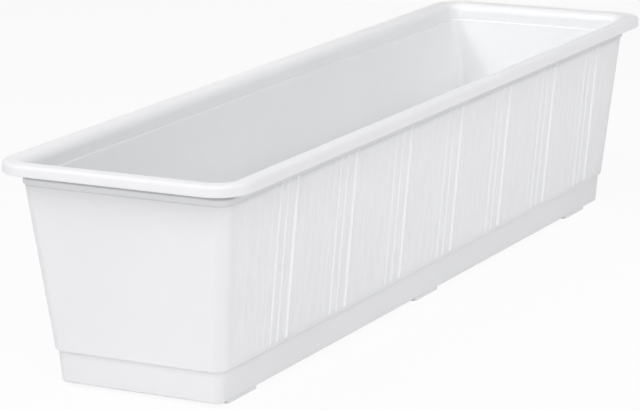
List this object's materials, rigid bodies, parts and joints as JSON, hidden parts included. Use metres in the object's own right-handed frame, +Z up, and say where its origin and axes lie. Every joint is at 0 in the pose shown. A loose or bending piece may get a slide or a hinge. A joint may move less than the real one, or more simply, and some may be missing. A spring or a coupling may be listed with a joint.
{
  "type": "window box planter",
  "caption": "Long white plastic window box with leaning walls, a rolled rim, groups of upright beads and a clip-on drip tray on low feet.",
  "frame": {"origin": "on the floor, under the middle of the box's plan", "axes": "+X along the box, -Y towards the front long wall, +Z up"},
  "size_m": [0.8, 0.2134, 0.1807],
  "materials": {
    "trough_plastic": "satin",
    "tray_plastic": "satin",
    "plug_plastic": "matte"
  },
  "bodies": {
    "tray": {"drip_tray": "tray_plastic"},
    "trough": {"trough_shell": "trough_plastic"},
    "plug_1": {"drain_plug_1": "plug_plastic"},
    "plug_2": {"drain_plug_2": "plug_plastic"},
    "plug_3": {"drain_plug_3": "plug_plastic"},
    "plug_4": {"drain_plug_4": "plug_plastic"},
    "plug_5": {"drain_plug_5": "plug_plastic"},
    "plug_6": {"drain_plug_6": "plug_plastic"}
  },
  "joints": [
    {"name": "trough_lift", "type": "slide", "parent": "tray", "child": "trough", "axis": [0, 0, 1], "range_m": [0, 0.12]},
    {"name": "plug_pull_1", "type": "slide", "parent": "trough", "child": "plug_1", "axis": [0, 0, 1], "range_m": [0, 0.05]},
    {"name": "plug_pull_2", "type": "slide", "parent": "trough", "child": "plug_2", "axis": [0, 0, 1], "range_m": [0, 0.05]},
    {"name": "plug_pull_3", "type": "slide", "parent": "trough", "child": "plug_3", "axis": [0, 0, 1], "range_m": [0, 0.05]},
    {"name": "plug_pull_4", "type": "slide", "parent": "trough", "child": "plug_4", "axis": [0, 0, 1], "range_m": [0, 0.05]},
    {"name": "plug_pull_5", "type": "slide", "parent": "trough", "child": "plug_5", "axis": [0, 0, 1], "range_m": [0, 0.05]},
    {"name": "plug_pull_6", "type": "slide", "parent": "trough", "child": "plug_6", "axis": [0, 0, 1], "range_m": [0, 0.05]}
  ]
}
